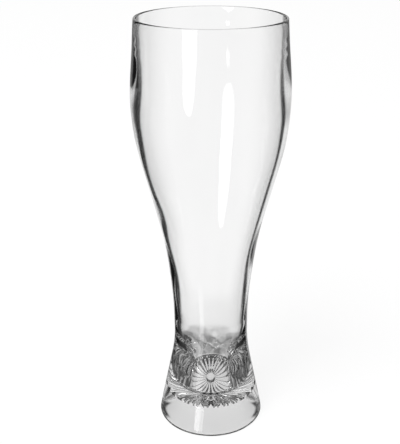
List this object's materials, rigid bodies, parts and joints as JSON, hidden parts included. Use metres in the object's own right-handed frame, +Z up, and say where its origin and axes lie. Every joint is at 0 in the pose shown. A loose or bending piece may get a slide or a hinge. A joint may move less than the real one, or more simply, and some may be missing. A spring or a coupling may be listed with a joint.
{
  "type": "beer glass",
  "caption": "Tall waisted wheat-beer glass with a wide belly, thick floor with a star pressed into its underside, and a hollow flared foot to stand on.",
  "frame": {"origin": "on the table, under the middle of the foot", "axes": "+Z up along the glass's axis, +X and +Y across it; the glass is round, so their turn about +Z is free"},
  "size_m": [0.0882, 0.0882, 0.246],
  "materials": {
    "bowl_glass": "clear, fire-polished",
    "floor_glass": "clear, pressed star",
    "foot_glass": "clear, smooth"
  },
  "bodies": {
    "root": {"bowl": "bowl_glass", "star_floor": "floor_glass", "foot": "foot_glass"}
  },
  "joints": []
}
